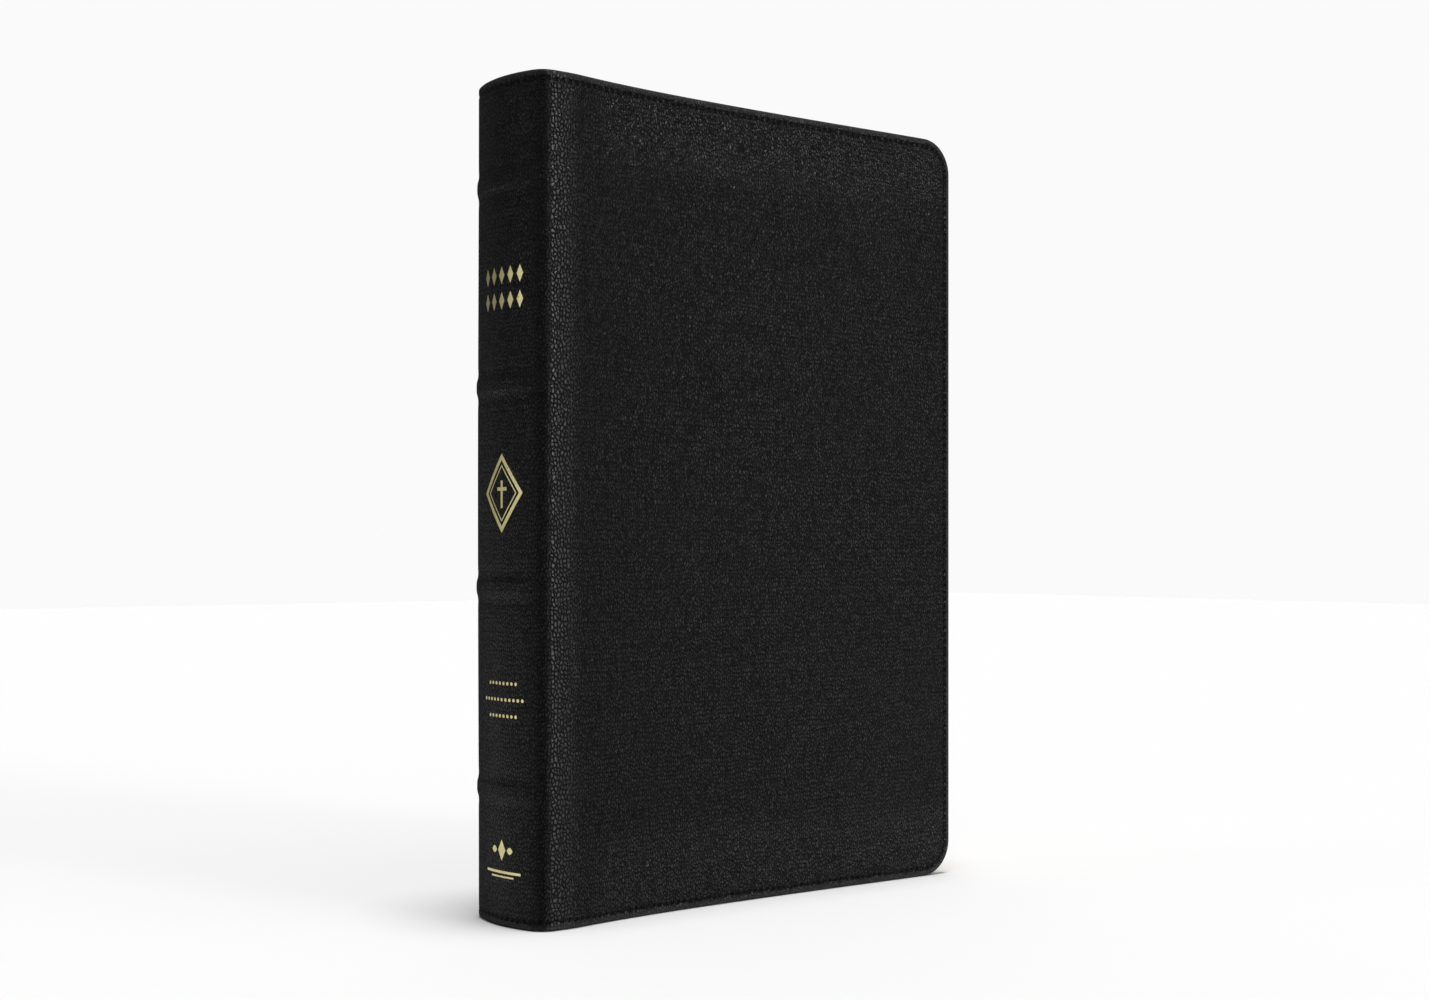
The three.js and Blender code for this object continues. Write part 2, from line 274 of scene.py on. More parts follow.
def arc(centre_x, centre_y, radius, start, end):
    """Points round a centre, at angles from the way towards the back of the spine."""
    points = np.linspace(start, end, ARC_POINTS)
    return points_of(centre_x - radius * np.cos(points), centre_y + radius * np.sin(points))


def cover_line():
    """Plan of a cover from its shoulder: it slopes down, then sinks a little in the middle."""
    start = SPINE_X + SHOULDER_WIDTH
    x = np.linspace(start, FORE_EDGE_X + PATH_PAST, COVER_POINTS)
    left = np.clip(1 - (x - start) / SLOPE_LENGTH, 0, 1)
    across = np.clip((x - start) / (FORE_EDGE_X - start), 0, 1)
    slope = (SHOULDER_HALF - COVER_HALF) * left**SLOPE_POWER
    return points_of(x, COVER_HALF + slope - COVER_HOLLOW * np.sin(np.pi * across) ** 2)


def skin_path():
    """Runs, points and inward normals of half of the outer skin, seen in plan."""
    spine = arc(SPINE_X + SPINE_RADIUS, 0, SPINE_RADIUS, 0, CORNER_ANGLE)
    shoulder = arc(CORNER_X, CORNER_Y, SHOULDER_RADIUS, CORNER_ANGLE, math.pi / 2)
    half = np.concatenate([spine, shoulder[1:], cover_line()])
    whole = np.concatenate([half[:0:-1] * (1, -1), half])
    length = np.concatenate([[0], np.cumsum(np.hypot(*np.diff(whole, axis=0).T))])
    middle = length[len(half) - 1]
    count = int(middle / PATH_STEP)
    runs = np.arange(-count, count + 1) * PATH_STEP
    spread = np.arange(-SOFTNESS_STEPS, SOFTNESS_STEPS + 1) * PATH_STEP / PATH_SOFTNESS
    weights = np.exp(-(spread**2) / 2)
    weights /= weights.sum()
    even = [np.interp(runs + middle, length, whole[:, axis]) for axis in (0, 1)]
    smooth = [np.convolve(values, weights, mode="same") for values in even]
    tangent = np.gradient(np.stack(smooth, 1), axis=0)
    tangent /= np.linalg.norm(tangent, axis=1)[:, None]
    kept = slice(count, len(runs) - len(spread))
    return runs[kept], smooth[0][kept], smooth[1][kept], tangent[kept, 1], -tangent[kept, 0]


PATH_RUN, PATH_X, PATH_Y, NORMAL_X, NORMAL_Y = skin_path()


def place(run, height, depth):
    """Points of the book's frame for places on the skin."""
    run, height, depth = np.broadcast_arrays(run, height, depth)
    along = np.abs(run)
    x = np.interp(along, PATH_RUN, PATH_X) + depth * np.interp(along, PATH_RUN, NORMAL_X)
    y = np.interp(along, PATH_RUN, PATH_Y) + depth * np.interp(along, PATH_RUN, NORMAL_Y)
    return points_of(x, np.where(run < 0, y, -y), height)


def run_at(x):
    """Run at which the skin passes a place along X."""
    return float(np.interp(x, PATH_X, PATH_RUN))


END_RUN = run_at(FORE_EDGE_X)


def smoothstep(value, low, high):
    share = np.clip((value - low) / (high - low), 0, 1)
    return share * share * (3 - 2 * share)


# ---- meshes

WELD = 1e-6
SHARP_ANGLE = math.radians(38)


def grid_faces(rows, columns, closed=False):
    """Quads of a grid numbered row by row; closed joins its last column to its first."""
    row = np.arange(rows - 1)[:, None] * columns
    column = np.arange(columns if closed else columns - 1)[None, :]
    after = (column + 1) % columns
    corners = [row + column, row + after, row + columns + after, row + columns + column]
    return np.stack(corners, -1).reshape(-1, 4)


class Shape:
    """Points and faces gathered for one piece. Each point keeps two notes for the materials:
    its rest place, and its place along and in from the edge that is stitched."""

    def __init__(self):
        self.points = []
        self.rest = []
        self.edge = []
        self.faces = []
        self.paints = []
        self.count = 0

    def add(self, points, faces, rest, edge=OFF_EDGE, paint=0):
        count = points.size // 3
        for kept, values in ((self.points, points), (self.rest, rest), (self.edge, edge)):
            kept.append(np.broadcast_to(np.reshape(values, (-1, 3)), (count, 3)))
        self.faces += [[int(corner) + self.count for corner in face] for face in faces]
        self.paints += list(np.broadcast_to(paint, len(faces)))
        self.count += count

    def piece(self, name, *materials):
        mesh = bpy.data.meshes.new(name)
        mesh.from_pydata((np.concatenate(self.points) * MM).tolist(), [], self.faces)
        for key, values in (("rest", self.rest), ("edge", self.edge)):
            layer = mesh.attributes.new(key, "FLOAT_VECTOR", "POINT")
            layer.data.foreach_set("vector", np.concatenate(values).astype(np.float32).ravel())
        for material in materials:
            mesh.materials.append(material)
        mesh.polygons.foreach_set("material_index", np.array(self.paints, np.int32))
        mended = bmesh.new()
        mended.from_mesh(mesh)
        bmesh.ops.remove_doubles(mended, verts=mended.verts, dist=WELD)
        bmesh.ops.dissolve_degenerate(mended, edges=mended.edges, dist=WELD)
        bmesh.ops.recalc_face_normals(mended, faces=mended.faces)
        mended.to_mesh(mesh)
        mended.free()
        mesh.shade_smooth()
        mesh.set_sharp_from_angle(angle=SHARP_ANGLE)
        piece = bpy.data.objects.new(name, mesh)
        bpy.context.scene.collection.objects.link(piece)
        return piece


def add_rings(shape, rings, rest, joined_ends=False, paint=0, cap_paint=0, edge=OFF_EDGE):
    """A skin through rings of the same number of points; each ring is a closed loop. The last
    ring is joined to the first, or else both are capped."""
    count, sides = rings.shape[:2]
    last = (count - 1) * sides
    faces = list(grid_faces(count, sides, closed=True))
    if joined_ends:
        for side in range(sides):
            after = (side + 1) % sides
            faces.append([last + side, last + after, after, side])
    paints = list(np.resize(paint, len(faces)))
    if not joined_ends:
        faces += [list(range(sides)), [last + side for side in reversed(range(sides))]]
        paints += [cap_paint, cap_paint]
    shape.add(rings, faces, rest, edge, paints)


# ---- case

FACE_INSETS = (5, 4.2, 3.6, 3.3, 3.0, 2.7, 2.4, 2.1, 1.8, 1.4)
RIM_STEPS = 11
RIM_BACK = 2.4  # inset of the first ring on the turned-in side
TURN_IN_EASE = 0.15
POCKET_EASE = 0.3  # half the length over which the skin thins from the full rim to the leather
SHEET_EDGE_STEPS = 5
SEAM_COLUMNS = 5  # close columns at each side of the spine's leather
SEAM_STEP = 0.25
SPINE_COLUMNS = 46


def groove(inset):
    """Depth of the channel pressed in along the stitches."""
    return GROOVE_DEPTH * np.exp(-(((inset - STITCH_INSET) / GROOVE_WIDTH) ** 2))


def round_edge(face, back, steps):
    """(inset, depth) pairs of the half turn round an edge, from the face's depth to the back's."""
    radius = (back - face) / 2
    turn = np.linspace(0, math.pi, steps)
    return list(zip(radius * (1 - np.sin(turn)), face + radius * (1 - np.cos(turn))))


def edge_profile(turn_in):
    """(inset, depth) pairs from the skin round the edge and back along the turned-in rim."""
    face = [(inset, groove(inset)) for inset in FACE_INSETS]
    end = (turn_in, RIM_DEPTH - TURN_IN_EASE)
    back = [(RIM_BACK, RIM_DEPTH), (turn_in - TURN_IN_EASE, RIM_DEPTH), end]
    return face + round_edge(0, RIM_DEPTH, RIM_STEPS) + back


def band_middle(band):
    """Height of the middle of a raised band, counted from 0 at the tail."""
    return BAND_MIDDLE + (band - (BAND_COUNT - 1) / 2) * BAND_PITCH


def even_rows(low, high):
    """Heights from low to high: close together over the raised bands, wider between them."""
    rows = set(np.linspace(low, high, int((high - low) / ROW_STEP) + 1)[1:-1])
    for band in range(BAND_COUNT):
        rows |= set(band_middle(band) + np.arange(-BAND_ROWS, BAND_ROWS + 0.1, BAND_ROW_STEP))
    rows = np.array(sorted(rows))
    rows = rows[(rows > low + ROW_MARGIN) & (rows < high - ROW_MARGIN)]
    rows = rows[np.concatenate([[True], np.diff(rows) > ROW_GAP])]
    return np.concatenate([[low], rows, [high]])


def plate_grid(columns, outline, inset):
    """Runs and heights of a grid over an outline drawn in by inset. Its far corners are round."""
    end, low, high, corner = outline
    share = np.arange(1, CORNER_STEPS + 1) / CORNER_STEPS
    straight = even_rows(low + corner, high - corner)
    rows = len(straight)
    run_share = np.concatenate([np.zeros(len(columns)), share])[:, None]
    run_base = np.concatenate([columns, np.full(CORNER_STEPS, end - corner)])[:, None]
    height_share = np.concatenate([-share[::-1], np.zeros(rows), share])[None, :]
    tail, head = np.full(CORNER_STEPS, low + corner), np.full(CORNER_STEPS, high - corner)
    height_base = np.concatenate([tail, straight, head])[None, :]
    radius = corner - inset
    run = run_base + radius * run_share * np.sqrt(1 - height_share**2 / 2)
    height = height_base + radius * height_share * np.sqrt(1 - run_share**2 / 2)
    return run, height


def line_length(run, height):
    """Length from the start of a line of runs and heights to each of its points."""
    return np.concatenate([[0], np.cumsum(np.hypot(np.diff(run), np.diff(height)))])


def border(grid):
    """The tail, fore-edge and head sides of a grid, as one line."""
    return np.concatenate([grid[:, 0], grid[-1, 1:-1], grid[::-1, -1]])


def run_columns(start, stop):
    """Runs of a plate's columns: close together where it bends, wider over the flat."""
    near = np.arange(start, NEAR_RUN, NEAR_STEP)
    bend = np.arange(max(start, NEAR_RUN), BEND_RUN, BEND_STEP)
    flat = np.linspace(BEND_RUN, stop, int((stop - BEND_RUN) / ROW_STEP) + 1)
    return np.concatenate([near, bend, flat])


def spine_relief(run, height):
    """How far the leather stands proud over the raised bands, with a faint dip beside each.
    The shoulders also bulge a little halfway up the book."""
    run = np.abs(run)
    bulge = BULGE * np.sin(np.pi * height / HEIGHT) ** 2
    total = bulge * smoothstep(run, *BULGE_RISE) * (1 - smoothstep(run, *BULGE_FALL))
    for band in range(BAND_COUNT):
        away = np.abs(height - band_middle(band))
        ridge = BAND_RIDGE * np.exp(-((away / BAND_HALF) ** BAND_SQUARENESS))
        dip = BAND_DIP * np.exp(-(((away - DIP_AWAY) / DIP_WIDTH) ** 2))
        total = total + (ridge - dip) * (1 - smoothstep(run, *BAND_REACH))
    return total


def swell(run, height):
    """How far a cover's skin stands proud: slightly uneven, with the bands' ends at the shoulder."""
    first = np.sin(run / WAVE_RUNS[0] + WAVE_PHASE) * np.sin(height / WAVE_HEIGHTS[0])
    second = np.sin(run / WAVE_RUNS[1] + height / WAVE_HEIGHTS[1])
    share = smoothstep(run, *WAVE_RISE) * smoothstep(END_RUN - run, *WAVE_MARGIN)
    return spine_relief(run, height) - WAVE_DEPTH * (first + SECOND_WAVE * second) * share


def plate(side, start, outline, profile, back_depth, relief=None):
    """A closed sheet of the case on one side of the book. back_depth is a function of run,
    relief one of run and height that gives how far the face stands proud."""
    shape = Shape()
    columns = run_columns(start, outline[0] - outline[3])
    insets = [inset for inset, _ in profile] + [profile[-1][0]]
    grids = [plate_grid(columns, outline, inset) for inset in insets]
    proud = relief(*grids[0]) if relief else 0 * grids[0][0]
    face = (*grids[0], profile[0][1] - proud)
    back = (*grids[-1], back_depth(grids[-1][0]))

    def add(run, height, depth, faces, edge=OFF_EDGE):
        spots = side * run, height, depth
        shape.add(place(*spots), faces, points_of(*spots), edge)

    for sheet in (face, back):
        add(*sheet, grid_faces(*proud.shape))

    run = np.stack([border(grid[0]) for grid in grids])
    height = np.stack([border(grid[1]) for grid in grids])
    depth = np.stack([np.full(run.shape[1], depth) for _, depth in profile] + [back_depth(run[-1])])
    depth[0] = border(face[2])
    along = line_length(run[len(run) // 4], height[len(run) // 4])
    edge = points_of(along, np.array(insets)[:, None], 0.0)
    add(run, height, depth, grid_faces(*run.shape), edge)

    end = [np.stack([outer[0], inner[0]]) for outer, inner in zip(face, back)]
    add(*end, grid_faces(*end[0].shape))
    for at in (0, -1):
        add(run[:, at], height[:, at], depth[:, at], [list(range(len(run)))])
    return shape


def case_outline(inset):
    """End run, low and high heights and corner radius of a plate drawn in from the case's edge."""
    return END_RUN - inset, inset, HEIGHT - inset, COVER_CORNER - inset


def cover_skin(side, name, material):
    """The leather of one cover, from its seam with the spine to the fore-edge."""
    pocket = run_at(SPINE_X + SOLID_STRIP)

    def back_depth(run):
        share = smoothstep(run, pocket - POCKET_EASE, pocket + POCKET_EASE)
        return RIM_DEPTH - (RIM_DEPTH - COVER_LEATHER) * share

    shape = plate(side, SEAM, case_outline(0), edge_profile(TURN_IN), back_depth, swell)
    return shape.piece(name, material)


def flat_sheet(side, name, depths, start_x, outline, material):
    """A thin sheet with a softened edge, such as a board, a lining or a leaf."""
    profile = round_edge(*depths, SHEET_EDGE_STEPS)

    def back_depth(run):
        return np.full(np.shape(run), depths[1])

    return plate(side, run_at(start_x), outline, profile, back_depth).piece(name, material)


def spine_columns():
    """Runs of the spine's columns: close together beside its seams with the covers."""
    close = np.arange(SEAM_COLUMNS) * SEAM_STEP
    wide = SEAM - SEAM_COLUMNS * SEAM_STEP
    return np.concatenate([close - SEAM, np.linspace(-wide, wide, SPINE_COLUMNS), SEAM - close[::-1]])


def spine_skin(material):
    """The spine's leather: a loop up the outside, over the head, down the inside and round the
    tail, carried across from seam to seam."""
    insets, depths = np.array(edge_profile(SPINE_TURN_IN)).T
    outer = even_rows(FACE_INSETS[0], HEIGHT - FACE_INSETS[0])[1:-1]
    far_in = np.full(len(outer), FAR_IN)
    inner_depth = np.full(len(outer), SPINE_LEATHER)
    heights = np.concatenate([outer, HEIGHT - insets, outer[::-1], insets[::-1]])
    flat_depth = np.concatenate([0 * outer, depths, inner_depth, depths[::-1]])
    inset = np.concatenate([far_in, insets, far_in, insets[::-1]])
    is_face = np.arange(len(heights)) < len(outer)
    run, height = np.meshgrid(spine_columns(), heights, indexing="ij")
    depth = flat_depth - is_face * spine_relief(run, height)
    rest = points_of(run, height, flat_depth)
    shape = Shape()
    add_rings(shape, place(run, height, depth), rest, edge=points_of(run, inset, 0.0))
    return shape.piece("spine_leather_skin", material)


# ---- stitches

STITCH_LENGTH = 1.5
STITCH_HALF = 0.27
STITCH_SINK = 0.1
STITCH_SIDES = 8
STITCH_RINGS = 7
STITCH_TIP = 0.12  # keeps a little width at the tips, as an angle
SPINE_LINE_POINTS = 60


def add_stitches(shape, run, height, side=FRONT):
    """Stitches at an even pitch along a line of runs and heights."""
    length = line_length(run, height)
    middles = (np.arange(int(length[-1] / STITCH_PITCH)) + 0.5) * STITCH_PITCH
    before, after = [
        points_of(np.interp(middles + shift, length, run), np.interp(middles + shift, length, height))
        for shift in (-0.5, 0.5)
    ]
    turn = np.linspace(0, 2 * np.pi, STITCH_SIDES, endpoint=False)
    taper = np.sin(np.linspace(STITCH_TIP, np.pi - STITCH_TIP, STITCH_RINGS)) ** 0.5
    along = np.linspace(-0.5, 0.5, STITCH_RINGS)[:, None] * STITCH_LENGTH
    across = STITCH_HALF * np.outer(taper, np.cos(turn))
    depth = GROOVE_DEPTH + STITCH_SINK - STITCH_HALF * np.outer(taper, np.sin(turn))
    for start, end in zip(before, after):
        way = (end - start) / np.linalg.norm(end - start)
        middle = (start + end) / 2
        at_run = middle[0] + along * way[0] - across * way[1]
        at_height = middle[1] + along * way[1] + across * way[0]
        spots = side * at_run, at_height, depth
        add_rings(shape, place(*spots), points_of(*spots))


def cover_stitches(side, name, material):
    """Stitches round the tail, fore-edge and head of one cover."""
    outline = case_outline(0)
    run, height = plate_grid(run_columns(SEAM, outline[0] - outline[3]), outline, STITCH_INSET)
    shape = Shape()
    add_stitches(shape, border(run), border(height), side)
    return shape.piece(name, material)


def spine_stitches(material):
    """Stitches across the spine at the tail and the head."""
    shape = Shape()
    run = np.linspace(-SEAM, SEAM, SPINE_LINE_POINTS)
    for height in (STITCH_INSET, HEIGHT - STITCH_INSET):
        add_stitches(shape, run, np.full(len(run), height))
    return shape.piece("spine_stitching", material)


# ---- gold ornaments

FOIL_PROUD = 0.035
FOIL_SUNK = 0.03
ORNAMENT_RUN = 2.3  # the ornaments' middle
LOZENGE_POINTS = 13
PEARL_POINTS = 9
FRAME_SIDES = 32
LEAST_RISE = 0.02  # share of its height that a lozenge keeps at its points
LEAST_PEARL_RISE = 0.05

# Sizes across and up are halves.
TITLE_HEIGHTS = (183.6, 176.4)
TITLE_STEPS = range(-2, 3)
TITLE_PITCH = 3.9
TITLE_LOZENGE = (1.25, 2.5)

CROSS_HEIGHT = 122.2
CROSS_FRAMES = ((9.0, 11.2, 1.5), (6.5, 8.1, 0.5))  # across, up, width of the frame
CROSS_FOOT = 4.2
CROSS_TOP = 3.6
CROSS_ARM = 2.2
CROSS_ARM_RISE = 1.2
CROSS_HALF = 0.5
ARM_START = 0.51  # just clear of the upright
UPRIGHT_POINTS = 9
ARM_POINTS = 4

PEARL_ROWS = ((68.6, 8), (64.0, 11), (59.4, 8))  # height, pearls
PEARL_PITCH = 1.75
PEARL_RADIUS = 0.5

TAIL_HEIGHT = 21.6
TAIL_LOZENGE = (1.7, 3.0)
TAIL_DROP = (1.2, 1.0)
TAIL_DROP_AWAY = 3.6
TAIL_DROP_POWER = 2
TAIL_RULES = ((15.4, 8.0, 0.36), (14.1, 5.2, 0.24))  # height, half length, half width


def add_ribbon(shape, left, right, closed=False):
    """A thin plate of foil on the spine between two lines of (run, height)."""
    line = np.stack([left, right, right, left], 1)
    depth = np.array([-FOIL_PROUD, -FOIL_PROUD, FOIL_SUNK, FOIL_SUNK])
    run = line[..., 0] + ORNAMENT_RUN
    height = line[..., 1]
    rings = place(run, height, depth - spine_relief(run, height))
    add_rings(shape, rings, points_of(run, height, depth), joined_ends=closed)


def add_bar(shape, run, height, rise):
    """Foil along a line of runs, reaching as far above its height as below it."""
    add_ribbon(shape, points_of(run, height + rise), points_of(run, height - rise))


def add_lozenge(shape, run, height, half_run, half_height, power=1.0):
    """A pointed lozenge, or with a power above 1 a rounded drop shape."""
    across = np.linspace(-1, 1, LOZENGE_POINTS)
    rise = half_height * np.clip(1 - np.abs(across) ** power, LEAST_RISE, 1)
    add_bar(shape, run + half_run * across, height, rise)


def add_pearl(shape, run, height):
    """A round of foil."""
    across = np.cos(np.linspace(np.pi, 0, PEARL_POINTS))
    rise = PEARL_RADIUS * np.maximum(np.sqrt(1 - across**2), LEAST_PEARL_RISE)
    add_bar(shape, run + PEARL_RADIUS * across, height, rise)


def add_frame(shape, height, half_run, half_height, width):
    """A lozenge-shaped frame round the middle of the spine."""
    turn = np.linspace(0, 2 * np.pi, FRAME_SIDES, endpoint=False)
    reach = 1 / (np.abs(np.cos(turn)) + np.abs(np.sin(turn)))
    run = half_run * reach * np.cos(turn)
    rise = half_height * reach * np.sin(turn)
    shrink = 1 - width / half_run
    inner = points_of(run * shrink, height + rise * shrink)
    add_ribbon(shape, points_of(run, height + rise), inner, closed=True)


def title_ornament(material):
    """Two rows of lozenges."""
    shape = Shape()
    for height in TITLE_HEIGHTS:
        for step in TITLE_STEPS:
            add_lozenge(shape, step * TITLE_PITCH, height, *TITLE_LOZENGE)
    return shape.piece("gold_title_ornament", material)


def cross_ornament(material):
    """A plain Latin cross in a double lozenge frame."""
    shape = Shape()
    for half_run, half_height, width in CROSS_FRAMES:
        add_frame(shape, CROSS_HEIGHT, half_run, half_height, width)
    upright = np.linspace(CROSS_HEIGHT - CROSS_FOOT, CROSS_HEIGHT + CROSS_TOP, UPRIGHT_POINTS)
    add_ribbon(shape, points_of(-CROSS_HALF, upright), points_of(CROSS_HALF, upright))
    for side in (-1, 1):
        run = np.linspace(ARM_START, CROSS_ARM, ARM_POINTS) * side
        add_bar(shape, run, CROSS_HEIGHT + CROSS_ARM_RISE, CROSS_HALF)
    return shape.piece("gold_cross_ornament", material)


def pearl_rows(material):
    """Three rows of small pearls: short, long, short."""
    shape = Shape()
    for height, pearls in PEARL_ROWS:
        for step in range(pearls):
            add_pearl(shape, (step - (pearls - 1) / 2) * PEARL_PITCH, height)
    return shape.piece("gold_pearl_rows", material)


def tail_ornament(material):
    """A lozenge between two drops, over two short rules."""
    shape = Shape()
    add_lozenge(shape, 0, TAIL_HEIGHT, *TAIL_LOZENGE)
    for side in (-1, 1):
        add_lozenge(shape, side * TAIL_DROP_AWAY, TAIL_HEIGHT, *TAIL_DROP, power=TAIL_DROP_POWER)
    for height, half_length, half_width in TAIL_RULES:
        run = np.linspace(-half_length, half_length, int(half_length) * 2 + 3)
        add_bar(shape, run, height, half_width)
    return shape.piece("gold_tail_ornament", material)


# ---- book block

FOLD_TURN_START = 0.15  # angle at which the rounding of a signature's fold begins
FOLD_STEPS = 5
PAGE_STEPS = 60
PAGE_CORNER_STEPS = 10


def block_half(x):
    """Half the thickness of the leaves at a place along X."""
    return np.interp(np.maximum(x, CORNER_X), PATH_X, PATH_Y) - BLOCK_DEPTH


def fold_x(share):
    """Where the folds lie along X, at a share of the block's half thickness."""
    y = share * block_half(SPINE_X)
    return SPINE_X + SPINE_RADIUS - math.sqrt((SPINE_RADIUS - FOLD_DEPTH) ** 2 - y**2)


def signature(number, paper, gilt):
    """A sewn stack of leaves between two shares of the block's half thickness."""
    half_share = 1 / SIGNATURES
    middle = (2 * number - 1) * half_share - 1
    fold = fold_x(middle)
    end = fold + FORE_EDGE_X - SQUARE - fold_x(1 - half_share)
    fold_radius = half_share * block_half(fold) - PAGE_GAP / 2
    turn = np.linspace(FOLD_TURN_START, np.pi / 2, FOLD_STEPS)
    corner = np.linspace(0, np.pi / 2, PAGE_CORNER_STEPS)
    body = np.linspace(fold + fold_radius, end - PAGE_CORNER, PAGE_STEPS)
    rounded = end - PAGE_CORNER * (1 - np.sin(corner[1:]))
    x = np.concatenate([fold + fold_radius * (1 - np.cos(turn[:-1])), body, rounded])
    fullness = np.ones(len(x))
    fullness[: len(turn) - 1] = np.sin(turn[:-1])
    drawn_in = np.zeros(len(x))
    drawn_in[-len(corner) + 1 :] = PAGE_CORNER * (1 - np.cos(corner[1:]))
    half = (half_share * block_half(x) - PAGE_GAP / 2) * fullness
    centre = middle * block_half(x)
    low, high = SQUARE + drawn_in, HEIGHT - SQUARE - drawn_in
    y = np.stack([centre - half, centre - half, centre + half, centre + half], 1)
    z = np.stack([low, high, high, low], 1)
    rings = points_of(x[:, None], y, z)
    shape = Shape()
    add_rings(shape, rings, rings, paint=np.array([0, 1, 0, 1]), cap_paint=1)
    return shape.piece(f"pages_{number:02d}", paper, gilt)


BEAD_RADIUS = 1.03
BEAD_REACH_SHARE = 0.97
BEAD_RINGS = 241
BEAD_SIDES = 16
BEAD_SLANT = 0.35  # how far each turn of thread leans
BEAD_WAIST = 0.9  # share of the radius left between two turns of thread
WINDING = 0.62


def end_bead(name, height, material):
    """A roll wound with thread, along the folds at the head or the tail."""
    reach = BEAD_REACH_SHARE * CORNER_ANGLE
    angle = np.linspace(-reach, reach, BEAD_RINGS)[:, None]
    turn = np.linspace(0, 2 * np.pi, BEAD_SIDES, endpoint=False)[None, :]
    path_radius = SPINE_RADIUS - FOLD_DEPTH - BEAD_RADIUS
    slant = angle * path_radius + BEAD_SLANT * np.sin(turn)
    wound = np.abs(np.sin(np.pi * slant / WINDING))
    radius = BEAD_RADIUS * (BEAD_WAIST + (1 - BEAD_WAIST) * wound)
    out = path_radius + radius * np.cos(turn)
    x = SPINE_X + SPINE_RADIUS - out * np.cos(angle)
    y = out * np.sin(angle)
    z = height + radius * np.sin(turn)
    shape = Shape()
    add_rings(shape, points_of(x, y, z), points_of(slant, z, 0.0))
    return shape.piece(name, material)


# ---- materials

MOST_NOISE = (0.3, 0.7)  # where most of a noise's values lie
EVEN = (1 / MM, 1 / MM, 1 / MM)


class Graph:
    """Shorthand for building a tree of nodes."""

    def __init__(self, tree):
        self.tree = tree

    def node(self, kind, inputs=(), **settings):
        node = self.tree.nodes.new(kind)
        for key, value in settings.items():
            setattr(node, key, value)
        for key, value in dict(inputs).items():
            self.feed(node.inputs[key], value)
        return node

    def feed(self, socket, value):
        if isinstance(value, bpy.types.NodeSocket):
            self.tree.links.new(value, socket)
        else:
            socket.default_value = value

    def note(self, name):
        return self.node("ShaderNodeAttribute", attribute_name=name).outputs["Vector"]

    def metres(self):
        """Places in the object's own coordinates."""
        return self.node("ShaderNodeTexCoord").outputs["Object"]

    def axes(self, vector):
        return self.node("ShaderNodeSeparateXYZ", {"Vector": vector}).outputs

    def math(self, operation, first, second=0.0, third=0.0):
        node = self.node("ShaderNodeMath", {0: first, 1: second, 2: third}, operation=operation)
        return node.outputs[0]

    def times(self, first, second):
        return self.math("MULTIPLY", first, second)

    def apart(self, first, second):
        return self.math("ABSOLUTE", self.math("SUBTRACT", first, second))

    def without(self, value, share):
        """What is left of value when a share of it is taken away."""
        return self.times(value, self.math("SUBTRACT", 1.0, share))

    def vectors(self, operation, first, second):
        return self.node("ShaderNodeVectorMath", {0: first, 1: second}, operation=operation).outputs

    def scaled(self, vector, scale):
        return self.vectors("MULTIPLY", vector, scale)[0]

    def shifted(self, vector, other):
        return self.vectors("ADD", vector, other)[0]

    def noise(self, vector, scale, detail=2.0, output=0):
        """Cloudy values between 0 and 1; with output 1, three of them at a time."""
        inputs = {"Vector": vector, "Scale": scale, "Detail": detail}
        return self.node("ShaderNodeTexNoise", inputs).outputs[output]

    def cells(self, vector):
        """Distance to the nearest border between uneven cells one unit wide."""
        inputs = {"Vector": vector, "Scale": 1.0, "Randomness": 0.9}
        settings = {"voronoi_dimensions": "2D", "feature": "DISTANCE_TO_EDGE"}
        return self.node("ShaderNodeTexVoronoi", inputs, **settings).outputs["Distance"]

    def folds(self, vector):
        """Wandering lines where the value falls to nothing."""
        return self.times(self.apart(self.noise(vector, 1.0), 0.5), 5.0)

    def ease(self, value, low, high, start=0.0, end=1.0):
        inputs = {"Value": value, "From Min": low, "From Max": high, "To Min": start, "To Max": end}
        return self.node("ShaderNodeMapRange", inputs, interpolation_type="SMOOTHSTEP").outputs[0]

    def mix(self, share, first, second):
        """Between two colours."""
        node = self.node("ShaderNodeMix", {0: share, 6: first, 7: second}, data_type="RGBA")
        return node.outputs[2]

    def blend(self, share, first, second):
        """Between two numbers."""
        node = self.node("ShaderNodeMix", {0: share, 2: first, 3: second}, data_type="FLOAT")
        return node.outputs[0]


class Paint(Graph):
    """The nodes of one material, round its shader."""

    def __init__(self, name, roughness=0.5, metallic=0.0, specular=0.5):
        self.material = bpy.data.materials.new(name)
        self.material.use_nodes = True
        super().__init__(self.material.node_tree)
        self.shader = self.tree.nodes["Principled BSDF"]
        self.set("Roughness", roughness)
        self.set("Metallic", metallic)
        self.set("Specular IOR Level", specular)

    def set(self, name, value):
        self.feed(self.shader.inputs[name], value)

    def bump(self, value, depth=1.0):
        """Raises the surface by value times a depth in millimetres."""
        inputs = {"Height": self.times(value, depth), "Distance": MM, "Strength": 1.0}
        self.set("Normal", self.node("ShaderNodeBump", inputs).outputs[0])


def grey(value, warmth=0.0):
    return (value * (1 + warmth), value, value * (1 - warmth), 1.0)


def darker(colour, share):
    return tuple(channel * share for channel in colour[:3]) + (1.0,)


